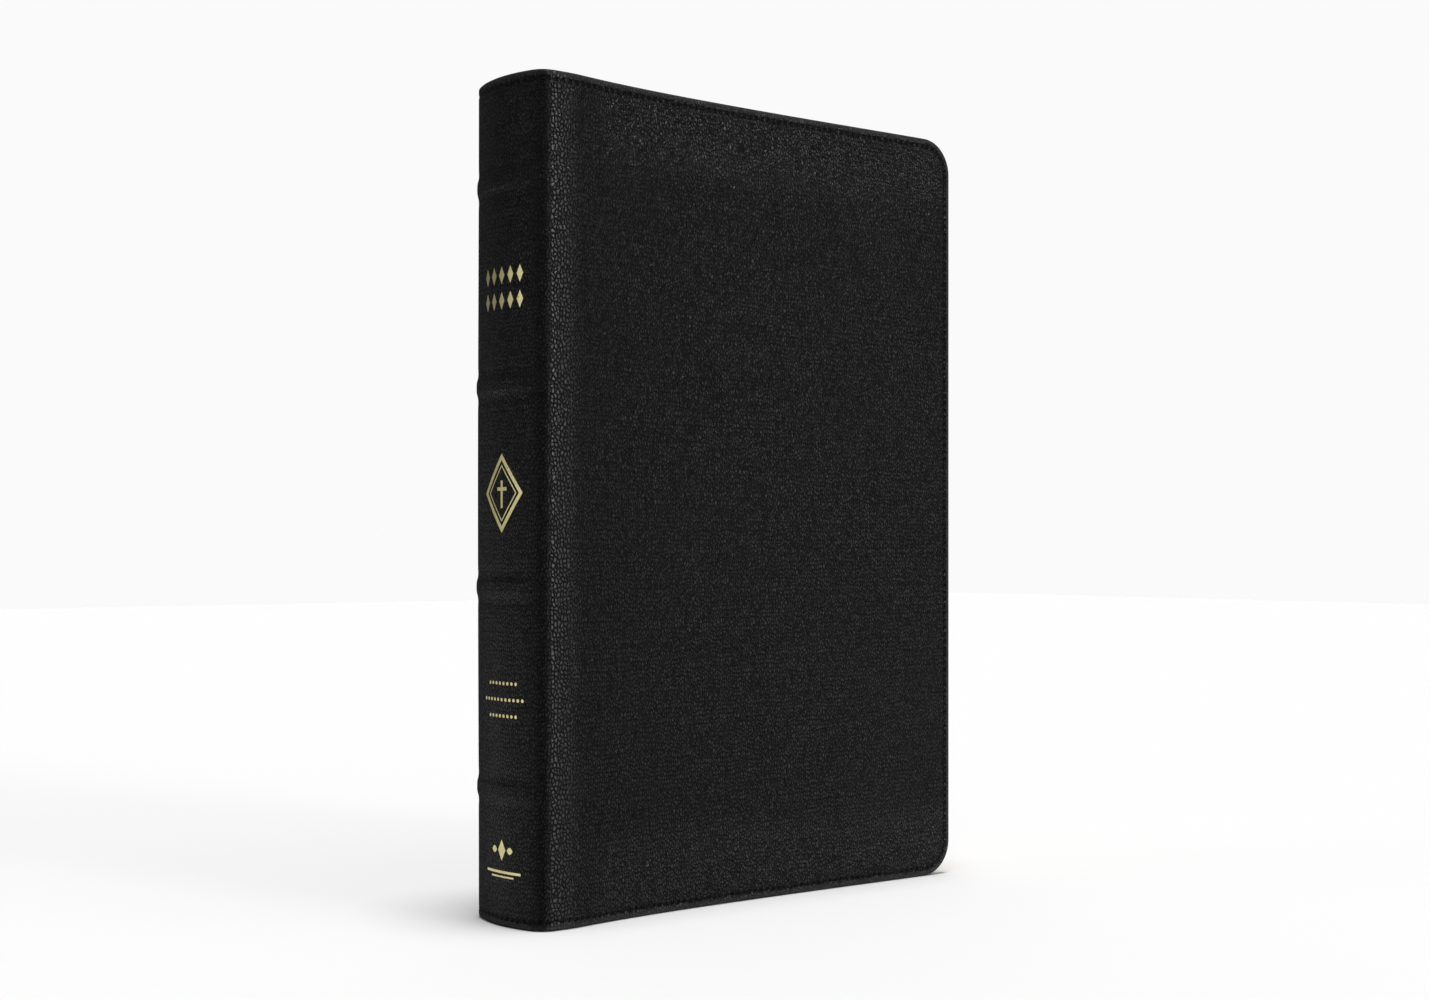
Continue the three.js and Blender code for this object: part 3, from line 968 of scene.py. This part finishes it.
# How many cells or waves of the leather's grain there are to a millimetre, across and up.
GRAIN_CELLS = (1 / 0.85, 1 / 1.3, 1)
STRIP_CELLS = (1 / 1.05, 1 / 1.35, 1)
UPRIGHT_FOLDS = (1.15, 0.42, 1)
CROSSWISE_FOLDS = (0.35, 0.85, 1)
FINE_GRAIN = (1.7, 0.8, 1)
PATCH_SCALE = 0.05
WANDER_SCALE = 0.2
WANDER_REACH = (1.2, 1.2, 0)
HALF_WAY = (-0.5, -0.5, -0.5)

# Where each kind of leather sets in: runs, insets, or heights from the middle of the book.
ENDS_HEIGHT = (92, 108)
ENDS_RUN = (32, 46)
STRIP_RISE = (18.5, 20.5)
STRIP_FALL = (34, 20)
# runs over which painted shade darkens the crease between spine and cover
CREASE_RISE = (14.5, 17.2)
CREASE_FALL = (19.3, 18)
CALM_INSET = (2, 6)
CALM_RUN = (18, 20.5)
CALM_SHARE = 0.4
# insets over which a painted highlight lightens the colour at the cover's edge
RIM_HIGHLIGHT_INSET = (2.1, 1.0)
SPINE_RUN = (15, 12)
HOLE_ALONG = (0.34, 0.12)  # in stitch pitches
HOLE_ACROSS = (0.8, 0.3)

# Depths of the leather's relief.
GRAIN_DEPTHS = (0.24, 0.31)
ENDS_DEPTH = 0.42
STRIP_DEPTH = 0.36
LINE_DEPTH = 0.15
FINE_DEPTH = 0.09
HOLE_DEPTH = 0.6

# painted shade: the grain's hollows and fold lines are coloured darker than its pebbles
LEATHER_HOLLOW_SHADE = grey(0.002)
LEATHER_PEBBLE = grey(0.0055, 0.01)
# painted highlight: the pebbles of the strip beside the shoulder are coloured lighter
STRIP_PEBBLE_HIGHLIGHT = grey(0.011, 0.01)
# painted highlight: a lighter line along the cover's outer edge
LEATHER_RIM_HIGHLIGHT = grey(0.016, 0.01)
# painted shade: the crease between spine and cover is coloured darker
LEATHER_CREASE_SHADE = grey(0.0015)
# painted shade: the needle holes are coloured darker
LEATHER_HOLE_SHADE = grey(0.0005)
# how strongly painted shade darkens the crease and the needle holes
CREASE_SHADE_SHARE = 0.5
HOLE_SHADE_SHARE = 0.45

# Shine of the leather's hollows and pebbles: over the covers, near their ends, in the strip.
SHINES = ((0.055, 0.215), (0.07, 0.31), (0.05, 0.27))
SPINE_SHINE = 1.2
ROUGHNESS = (0.46, 0.34)
GRAZING = (0.35, 0.8)
GRAZING_ROUGHNESS = 0.4


def leather_zones(graph, run, height):
    """Shares that lie near the head or tail of a cover, in the pebbled strip beside its
    shoulder, and in the crease between spine and cover, which takes painted shade."""
    from_middle = graph.apart(height, HEIGHT / 2)
    near_ends = graph.times(graph.ease(from_middle, *ENDS_HEIGHT), graph.ease(run, *ENDS_RUN))
    strip = graph.times(graph.ease(run, *STRIP_RISE), graph.ease(run, *STRIP_FALL))
    crease = graph.times(graph.ease(run, *CREASE_RISE), graph.ease(run, *CREASE_FALL))
    return near_ends, strip, crease


def leather_grain(graph, rest, near_ends, strip):
    """Rounded bumps and the folds that cross them. The folds stand upright, turn crosswise near
    the head and tail, and are missing from the strip."""
    wander = graph.shifted(graph.noise(rest, WANDER_SCALE, output=1), HALF_WAY)
    warped = graph.shifted(rest, graph.scaled(wander, WANDER_REACH))
    cells = [graph.cells(graph.scaled(warped, scale)) for scale in (GRAIN_CELLS, STRIP_CELLS)]
    folds = [graph.folds(graph.scaled(rest, scale)) for scale in (UPRIGHT_FOLDS, CROSSWISE_FOLDS)]
    bumps = graph.ease(graph.blend(strip, *cells), 0.0, 0.3)
    folds = graph.ease(graph.blend(near_ends, *folds), 0.0, 0.35)
    return bumps, graph.math("MAXIMUM", folds, strip)


def needle_holes(graph, along, inset):
    """Dimples between the stitches."""
    phase = graph.math("FRACT", graph.math("DIVIDE", along, STITCH_PITCH))
    phase = graph.math("MINIMUM", phase, graph.math("SUBTRACT", 1.0, phase))
    off_line = graph.apart(inset, STITCH_INSET)
    return graph.times(graph.ease(phase, *HOLE_ALONG), graph.ease(off_line, *HOLE_ACROSS))


def bump_depth(graph, rest, run, inset, near_ends, strip):
    """How deep the grain is: uneven in patches, and calmer along the edges and over the spine."""
    depth = graph.ease(graph.noise(rest, PATCH_SCALE), 0.35, 0.65, *GRAIN_DEPTHS)
    depth = graph.blend(near_ends, depth, ENDS_DEPTH)
    depth = graph.blend(strip, depth, STRIP_DEPTH)
    depth = graph.times(depth, graph.ease(inset, *CALM_INSET, CALM_SHARE, 1.0))
    return graph.times(depth, graph.ease(run, *CALM_RUN, CALM_SHARE, 1.0))


def leather_material():
    """Black grained leather: pebbled over the shoulders, with fine upright grain over the covers
    that turns crosswise near the head and tail, and a dimple at every needle hole. Its colour has
    painted shade in the grain's hollows, the crease and the needle holes, and painted highlight
    on the strip's pebbles and along the cover's edge."""
    graph = Paint("black_leather")
    rest = graph.note("rest")
    run, height, _ = graph.axes(rest)
    run = graph.math("ABSOLUTE", run)
    along, inset, _ = graph.axes(graph.note("edge"))
    near_ends, strip, crease = leather_zones(graph, run, height)
    bumps, folds = leather_grain(graph, rest, near_ends, strip)
    pebble = graph.times(bumps, folds)
    fine = graph.noise(graph.scaled(rest, FINE_GRAIN), 1.0, 3.0)
    hole = needle_holes(graph, along, inset)

    relief = graph.times(bumps, bump_depth(graph, rest, run, inset, near_ends, strip))
    for layer, depth in ((folds, LINE_DEPTH), (fine, FINE_DEPTH), (hole, -HOLE_DEPTH)):
        relief = graph.math("MULTIPLY_ADD", layer, depth, relief)
    graph.bump(relief)

    crease = graph.times(crease, CREASE_SHADE_SHARE)
    hole = graph.times(hole, HOLE_SHADE_SHARE)
    # painted shade: darker colour in the hollows and fold lines of the grain
    tone = graph.mix(pebble, LEATHER_HOLLOW_SHADE, LEATHER_PEBBLE)
    # painted highlight: lighter colour on the strip's pebbles
    tone = graph.mix(graph.times(pebble, strip), tone, STRIP_PEBBLE_HIGHLIGHT)
    # painted highlight: lighter colour along the cover's outer edge
    tone = graph.mix(graph.ease(inset, *RIM_HIGHLIGHT_INSET), tone, LEATHER_RIM_HIGHLIGHT)
    # painted shade: darker colour in the crease between spine and cover
    tone = graph.mix(crease, tone, LEATHER_CREASE_SHADE)
    # painted shade: darker colour in the needle holes
    graph.set("Base Color", graph.mix(hole, tone, LEATHER_HOLE_SHADE))

    shines = [graph.ease(pebble, 0.0, 1.0, *pair) for pair in SHINES]
    shine = graph.blend(strip, graph.blend(near_ends, *shines[:2]), shines[2])
    shine = graph.without(graph.without(shine, crease), hole)
    shine = graph.times(shine, graph.ease(run, *SPINE_RUN, 1.0, SPINE_SHINE))
    graph.set("Specular IOR Level", shine)
    facing = graph.node("ShaderNodeLayerWeight", {"Blend": 0.5}).outputs["Facing"]
    grazing = graph.ease(facing, *GRAZING, 0.0, GRAZING_ROUGHNESS)
    graph.set("Roughness", graph.math("ADD", graph.ease(fine, *MOST_NOISE, *ROUGHNESS), grazing))
    return graph.material


FOIL_TONES = ((0.60, 0.54, 0.25, 1), (0.76, 0.70, 0.38, 1))
FOIL_WORN = (0.03, 0.027, 0.02, 1)


def foil_material():
    """Pale gold foil pressed into the grain, a little worn."""
    graph = Paint("gold_foil", roughness=0.42, metallic=1.0)
    rest = graph.note("rest")
    worn = graph.ease(graph.noise(rest, 0.9, 4.0), 0.62, 0.75, 0.0, 0.75)
    tone = graph.mix(graph.noise(rest, 0.5), *FOIL_TONES)
    graph.set("Base Color", graph.mix(worn, tone, FOIL_WORN))
    graph.bump(graph.noise(rest, 1.4, 3.0), 0.05)
    return graph.material


def thread_material(name, colour, specular):
    """Twisted thread: fine strands, darker between them."""
    graph = Paint(name, roughness=0.55, specular=specular)
    strands = graph.noise(graph.note("rest"), 3.0, 3.0)
    graph.set("Base Color", graph.mix(strands, darker(colour, 0.5), colour))
    graph.bump(strands, 0.06)
    return graph.material


SILK_GOLD = ((0.38, 0.24, 0.07, 1), (0.6, 0.42, 0.15, 1))
SILK_BLACK = (grey(0.008), grey(0.02))
STRIPE_WINDINGS = 4  # turns of thread to a pair of stripes


def headband_material():
    """Silk wound in gold and black stripes."""
    graph = Paint("headband_silk", roughness=0.4, specular=0.4)
    rest = graph.note("rest")
    along = graph.axes(rest)[0]
    phase = graph.math("FRACT", graph.math("DIVIDE", along, STRIPE_WINDINGS * WINDING))
    shade = graph.noise(rest, 3.0)
    gold, black = graph.mix(shade, *SILK_GOLD), graph.mix(shade, *SILK_BLACK)
    graph.set("Base Color", graph.mix(graph.ease(phase, 0.48, 0.52), gold, black))
    graph.bump(graph.noise(graph.scaled(rest, (6, 1, 1)), 1.0), 0.05)
    return graph.material


PAPER_TONES = ((0.80, 0.75, 0.63, 1), (0.86, 0.82, 0.72, 1))
PAPER_FIBRE = (0.6, 0.55, 0.44, 1)


def paper_material():
    """Thin cream paper with a faint cloudiness and fibres."""
    graph = Paint("paper", roughness=0.85, specular=0.2)
    rest = graph.note("rest")
    fibres = graph.noise(rest, 2.0, 4.0)
    tone = graph.mix(graph.noise(rest, 0.05, 4.0), *PAPER_TONES)
    graph.set("Base Color", graph.mix(graph.ease(fibres, 0.6, 0.8, 0.0, 0.12), tone, PAPER_FIBRE))
    graph.bump(fibres, 0.02)
    return graph.material


GILT_TONES = ((0.58, 0.39, 0.14, 1), (0.86, 0.64, 0.3, 1))
GILT_LEAVES = (0.02, 11.0, 0.02)  # waves to a millimetre: the leaves lie across the book


def gilt_material():
    """Gilded page edges: the leaves show as fine lines."""
    graph = Paint("gilt_edges", metallic=1.0)
    rest = graph.note("rest")
    leaves = graph.noise(graph.scaled(rest, GILT_LEAVES), 1.0, 3.0)
    graph.set("Base Color", graph.mix(leaves, *GILT_TONES))
    graph.set("Roughness", graph.ease(graph.noise(rest, 0.08, 3.0), *MOST_NOISE, 0.28, 0.42))
    graph.bump(leaves, 0.06)
    return graph.material


LINING_TONES = (grey(0.008, 0.05), grey(0.014, 0.05))


def lining_material():
    """Smooth black leather lining with a fine grain and a little shine."""
    graph = Paint("leather_lining", specular=0.3)
    rest = graph.note("rest")
    mottle = graph.noise(rest, 0.06, 3.0)
    graph.set("Base Color", graph.mix(mottle, *LINING_TONES))
    graph.set("Roughness", graph.ease(mottle, *MOST_NOISE, 0.4, 0.55))
    graph.bump(graph.ease(graph.cells(graph.scaled(rest, (1.1, 1.1, 1))), 0.0, 0.3), 0.025)
    return graph.material


CARD_TONES = (grey(0.12, 0.05), grey(0.22, 0.08))
KRAFT_TONES = ((0.2, 0.12, 0.06, 1), (0.34, 0.22, 0.12, 1))
KRAFT_GRAIN = (1 / MM, 1 / MM, 3 / MM)


def fibrous_material(name, tones, scale, grain, relief):
    """Card or paper for the layers inside."""
    graph = Paint(name, roughness=0.9, specular=0.2)
    fibres = graph.noise(graph.scaled(graph.metres(), grain), scale, 4.0)
    graph.set("Base Color", graph.mix(fibres, *tones))
    graph.bump(fibres, relief)
    return graph.material


MULL_COLOUR = (0.7, 0.66, 0.56, 1)
TAPE_COLOUR = (0.62, 0.57, 0.45, 1)


def woven_material(name, colour, pitch):
    """Open plain-woven cloth."""
    graph = Paint(name, roughness=0.95, specular=0.15)
    _, across, up = graph.axes(graph.scaled(graph.metres(), EVEN))
    turns = [graph.times(axis, math.pi / pitch) for axis in (across, up)]
    weave = graph.times(*[graph.math("ABSOLUTE", graph.math("SINE", turn)) for turn in turns])
    graph.set("Base Color", graph.mix(weave, darker(colour, 0.55), colour))
    graph.bump(weave, 0.12)
    return graph.material


# ---- assembly


def joined(piece, parent, child, side, start_x, end_x):
    """Bends a piece from its parent body to its child body between two places along X."""
    y = -side * SHOULDER_HALF * MM
    start, end = (start_x * MM, y, 0), (end_x * MM, y, 0)
    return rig.blend(piece, parent, child, start=start, end=end)


HINGE_BEND = (SPINE_X + 2.5, SPINE_X + 11.5)
LEAF_BEND = (SPINE_X + 5, SPINE_X + 45)
LEAF_GROUPS = 3
GROUP_SIZE = 2


def leaf_body(number):
    """A signature's side of the book and the body that it rides on: the outer signatures follow
    the cover on their side, group by group."""
    side, name = SIDES[0] if number <= SIGNATURES / 2 else SIDES[1]
    from_outside = min(number - 1, SIGNATURES - number)
    group = from_outside // GROUP_SIZE + 1
    return side, f"{name}_leaves_{group}" if group <= LEAF_GROUPS else "book_block"


def build_case(materials):
    board_outline, lining_outline = case_outline(BOARD_INSET), case_outline(LINING_INSET)
    for side, name in SIDES:
        body = f"{name}_cover"
        skin = cover_skin(side, f"{name}_cover_skin", materials["leather"])
        board = flat_sheet(
            side, f"{name}_board", BOARD_DEPTHS, BOARD_START, board_outline, materials["card"]
        )
        lining = flat_sheet(
            side, f"{name}_lining", LINING_DEPTHS, LINING_START, lining_outline, materials["lining"]
        )
        stitches = cover_stitches(side, f"{name}_cover_stitching", materials["stitching"])
        for piece in (skin, lining, stitches):
            joined(piece, "book_block", body, side, *HINGE_BEND)
        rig.ride(board, body)
        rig.replaces(skin, f"{name}_cover_leather")
        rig.replaces(board, f"{name}_cover_board")
        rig.replaces(lining, f"{name}_cover_lining")
        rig.slot(skin, "cover_leather")
        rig.slot(board, "board")
        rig.slot(lining, "lining")
        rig.slot(stitches, "stitching")
    spine = spine_skin(materials["leather"])
    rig.replaces(spine, "spine_leather")
    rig.slot(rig.ride(spine, "book_block"), "cover_leather")
    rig.slot(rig.ride(spine_stitches(materials["stitching"]), "book_block"), "stitching")


def build_ornaments(material):
    for make in (title_ornament, cross_ornament, pearl_rows, tail_ornament):
        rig.slot(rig.ride(make(material), "book_block"), "foil")


def build_block(materials):
    leaf_outline = (run_at(FORE_EDGE_X - SQUARE), SQUARE, HEIGHT - SQUARE, PAGE_CORNER)
    paper = materials["paper"]
    for side, name in SIDES:
        leaf = flat_sheet(side, f"{name}_leaf", FLYLEAF_DEPTHS, CORNER_X, leaf_outline, paper)
        joined(leaf, "book_block", f"{name}_flyleaf", side, *LEAF_BEND)
        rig.replaces(leaf, f"{name}_flyleaf")
        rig.slot(leaf, "flyleaf")
    for number in range(1, SIGNATURES + 1):
        pages = signature(number, paper, materials["gilt"])
        side, body = leaf_body(number)
        if body == "book_block":
            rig.ride(pages, body)
        else:
            joined(pages, "book_block", body, side, *LEAF_BEND)
        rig.replaces(pages, f"signature_{number:02d}")
        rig.slot(pages, "pages")
    for name in ("headband", "tailband"):
        low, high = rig.box(name)
        bead = end_bead(f"{name}_roll", (low.z + high.z) / 2 / MM, materials["headband"])
        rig.replaces(bead, name)
        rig.slot(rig.ride(bead, "book_block"), "band_thread")


def paint_hidden_layers(materials):
    """The layers inside the spine keep their CAD shapes."""
    paints = {"spine_stiffener": "card", "spine_hollow_tube": "kraft", "spine_mull_cloth": "mull"}
    paints |= {f"raised_band_strip_{band + 1}": "card" for band in range(BAND_COUNT)}
    paints |= {f"sewing_tape_{tape}": "tape" for tape in (1, 2, 3)}
    for node, paint in paints.items():
        frame["nodes"][node].data.materials.clear()
        frame["nodes"][node].data.materials.append(materials[paint])


# ---- stage

FLOOR_SIZE = 6
FLOOR_TONE = 0.785
BACKGROUND = 0.956
BRIGHT_SIDE = (0.35, -0.5, 0.8)
BRIGHTNESS = (0.06, 0.5)
DIM_TO_BRIGHT = (-0.2, 1.0)

# Each light's name, the direction it comes from, its strength and its angle in degrees.
LIGHTS = (
    ("key", (0.0, -0.06, 1.0), 2.75, 16),
    ("cover_light", (0.6, -0.76, 0.22), 0.3, 30),
    ("shoulder_light", (0.3, -0.95, 0.1), 1.8, 16),
    ("spine_light", (-0.93, 0.36, 0.12), 0.3, 24),
    ("back_light", (0.5, 0.82, 0.25), 0.3, 60),
)


def build_floor():
    bpy.ops.mesh.primitive_plane_add(size=FLOOR_SIZE, location=(0, 0, 0))
    floor = bpy.context.object
    floor.name = "floor"
    graph = Paint("pale_floor", roughness=1.0, specular=0.0)
    graph.set("Base Color", grey(FLOOR_TONE))
    floor.data.materials.append(graph.material)
    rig.stage(floor)


def build_world():
    """Plain pale surroundings. The camera sees them flat; the book sees them dimmer towards
    the left front, where a studio would have its dark side."""
    world = bpy.data.worlds.new("studio")
    bpy.context.scene.world = world
    world.use_nodes = True
    world.node_tree.nodes.clear()
    graph = Graph(world.node_tree)
    direction = graph.node("ShaderNodeTexCoord").outputs["Generated"]
    bright_side = Vector(BRIGHT_SIDE).normalized()
    toward = graph.vectors("DOT_PRODUCT", direction, bright_side)["Value"]
    strength = graph.ease(toward, *DIM_TO_BRIGHT, *BRIGHTNESS)
    lighting = graph.node("ShaderNodeBackground", {"Strength": strength})
    seen = graph.node("ShaderNodeBackground", {"Color": grey(BACKGROUND)})
    camera_ray = graph.node("ShaderNodeLightPath").outputs["Is Camera Ray"]
    shaders = {0: camera_ray, 1: lighting.outputs[0], 2: seen.outputs[0]}
    mixed = graph.node("ShaderNodeMixShader", shaders)
    graph.node("ShaderNodeOutputWorld", {0: mixed.outputs[0]})


def build_lights():
    for name, source, strength, angle in LIGHTS:
        light = bpy.data.lights.new(name, "SUN")
        light.energy = strength
        light.angle = math.radians(angle)
        lamp = bpy.data.objects.new(name, light)
        lamp.rotation_mode = "QUATERNION"
        lamp.rotation_quaternion = Vector(source).to_track_quat("Z", "Y")
        bpy.context.scene.collection.objects.link(lamp)


CAMERA_PLACE = (-0.38097, -0.47925, 0.10689)
CAMERA_HEADING = math.radians(38.164)
CAMERA_LENS = 50
CAMERA_SENSOR = 36
CAMERA_SHIFT = 0.03322  # the camera is level, and the book stands a little above its middle


def build_camera():
    data = bpy.data.cameras.new("camera")
    data.lens = CAMERA_LENS
    data.sensor_width = CAMERA_SENSOR
    data.shift_y = CAMERA_SHIFT
    camera = bpy.data.objects.new("camera", data)
    camera.location = CAMERA_PLACE
    camera.rotation_euler = (math.pi / 2, 0, -CAMERA_HEADING)
    bpy.context.scene.collection.objects.link(camera)
    bpy.context.scene.camera = camera


def build_materials():
    return {
        "leather": leather_material(),
        "stitching": thread_material("black_thread", grey(0.005), specular=0.05),
        "foil": foil_material(),
        "headband": headband_material(),
        "paper": paper_material(),
        "gilt": gilt_material(),
        "lining": lining_material(),
        "card": fibrous_material("grey_card", CARD_TONES, 0.8, EVEN, 0.05),
        "kraft": fibrous_material("kraft_paper", KRAFT_TONES, 0.6, KRAFT_GRAIN, 0.03),
        "mull": woven_material("mull_cloth", MULL_COLOUR, 0.8),
        "tape": woven_material("linen_tape", TAPE_COLOUR, 0.5),
    }


materials = build_materials()
build_camera()
build_case(materials)
build_ornaments(materials["foil"])
build_block(materials)
paint_hidden_layers(materials)
build_floor()
build_world()
build_lights()
bpy.context.scene.view_settings.view_transform = "Standard"

visual_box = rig.bounds()
with open("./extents.json", "w") as sizes:
    json.dump({"cad": [list(c) for c in cad_box], "visual": [list(c) for c in visual_box]}, sizes)
